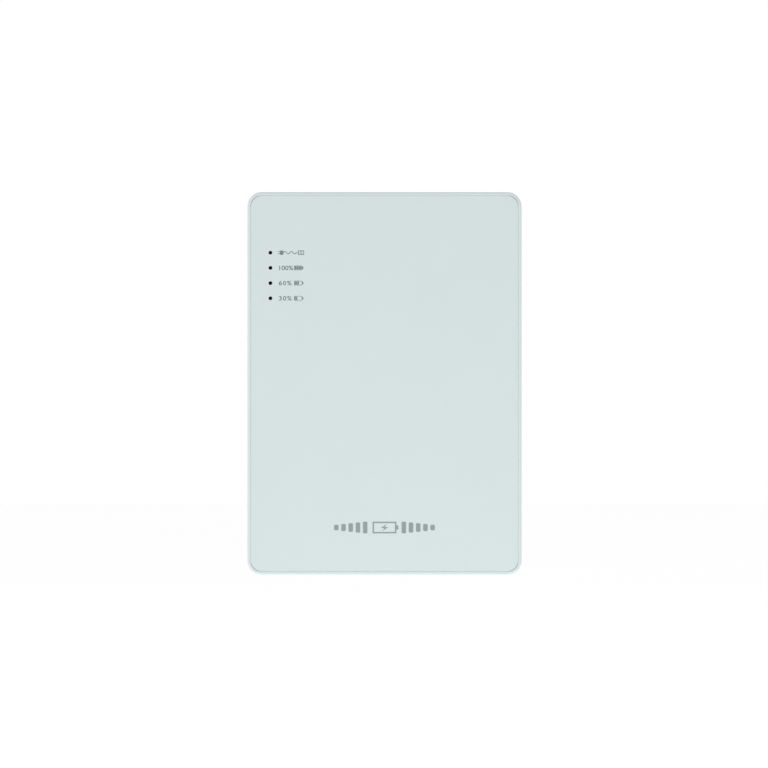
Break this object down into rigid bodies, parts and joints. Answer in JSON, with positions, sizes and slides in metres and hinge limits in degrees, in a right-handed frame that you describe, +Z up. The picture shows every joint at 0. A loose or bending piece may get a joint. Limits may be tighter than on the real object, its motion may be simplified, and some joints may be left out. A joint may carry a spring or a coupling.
{
  "type": "wall battery unit",
  "caption": "Flat wall-hung backup battery box with charge lights on its face, keyhole hangers behind, output sockets in the lower end and a mains inlet and rocker on one side.",
  "frame": {"origin": "midway between the two keyhole entry holes, on the rear shell's outer face", "axes": "+Z up, +X to the right of someone facing the unit, +Y into the wall"},
  "size_m": [0.115, 0.028, 0.1605],
  "materials": {
    "cover_plastic": "fine matt moulded ABS, pale mint grey",
    "shell_plastic": "fine matt moulded ABS, pale mint grey",
    "black_plastic": "matt black moulded plastic",
    "smoked_plastic": "smoked translucent light guide",
    "foot_rubber": "matt black rubber",
    "screw_steel": "zinc-plated steel",
    "contact_metal": "gold-flashed contacts",
    "plated_steel": "nickel-plated steel",
    "label_paper": "satin printed film",
    "board_laminate": "green glass-epoxy board",
    "chip_epoxy": "black epoxy",
    "chip_light": "white light-emitting chip",
    "cell_sleeve": "blue shrink sleeve",
    "bracket_plastic": "black moulded bracket",
    "strip_nickel": "nickel strip",
    "fish_paper": "green insulation paper",
    "can_sleeve": "dark capacitor sleeve",
    "ferrite": "dark ferrite",
    "copper_wire": "enamelled copper",
    "coil_tape": "yellow polyester tape",
    "sink_aluminium": "plain extruded aluminium",
    "film_box": "yellow film capacitor box",
    "header_nylon": "natural nylon",
    "wire_pvc": "PVC insulation",
    "cable_pvc": "grey PVC sheath",
    "knob_plastic": "white moulded knob"
  },
  "bodies": {
    "housing": {"front_cover": "cover_plastic", "rear_shell": "shell_plastic", "case_screws": "screw_steel", "rubber_feet": "foot_rubber", "rating_label": "label_paper", "light_guide": "smoked_plastic", "light_board": "board_laminate", "light_chips": "chip_light", "cell_1": "cell_sleeve", "cell_2": "cell_sleeve", "cell_3": "cell_sleeve", "cell_4": "cell_sleeve", "cell_bracket_lower": "bracket_plastic", "cell_bracket_upper": "bracket_plastic", "nickel_link": "strip_nickel", "nickel_positive": "strip_nickel", "nickel_negative": "strip_nickel", "cell_sheet": "fish_paper", "guard_board": "board_laminate", "guard_chips": "chip_epoxy", "guard_pads": "plated_steel", "output_board": "board_laminate", "mains_board": "board_laminate", "board_screws": "screw_steel", "usb_shell": "plated_steel", "usb_tongue": "header_nylon", "dc_jack_9v": "black_plastic", "dc_jack_12v": "black_plastic", "dc_pins": "contact_metal", "poe_jack": "black_plastic", "lan_jack": "black_plastic", "net_contacts": "contact_metal", "selector_body": "plated_steel", "inductors": "ferrite", "converter_chips": "chip_epoxy", "board_capacitors": "can_sleeve", "wire_headers": "header_nylon", "mains_inlet": "black_plastic", "inlet_pins": "plated_steel", "fuse": "film_box", "choke_core": "ferrite", "choke_windings": "copper_wire", "safety_capacitor": "film_box", "bridge_rectifier": "chip_epoxy", "bulk_capacitor": "can_sleeve", "transformer_core": "ferrite", "transformer_bobbin": "bracket_plastic", "transformer_winding": "coil_tape", "heat_sink": "sink_aluminium", "power_transistor": "chip_epoxy", "output_capacitors": "can_sleeve", "rocker_housing": "black_plastic", "rocker_terminals": "plated_steel", "supply_leads": "wire_pvc", "cell_leads": "wire_pvc", "battery_leads": "wire_pvc", "switch_leads": "wire_pvc", "light_cable": "cable_pvc"},
    "rocker": {"power_rocker": "black_plastic"},
    "selector": {"selector_knob": "knob_plastic"}
  },
  "joints": [
    {"name": "rocker_tilt", "type": "hinge", "parent": "housing", "child": "rocker", "pos_m": [0.05324, -0.015, -0.0205], "axis": [0, -1, 0], "range_deg": [0, 18]},
    {"name": "selector_slide", "type": "slide", "parent": "housing", "child": "selector", "axis": [1, 0, 0], "range_m": [0, 0.002]}
  ]
}
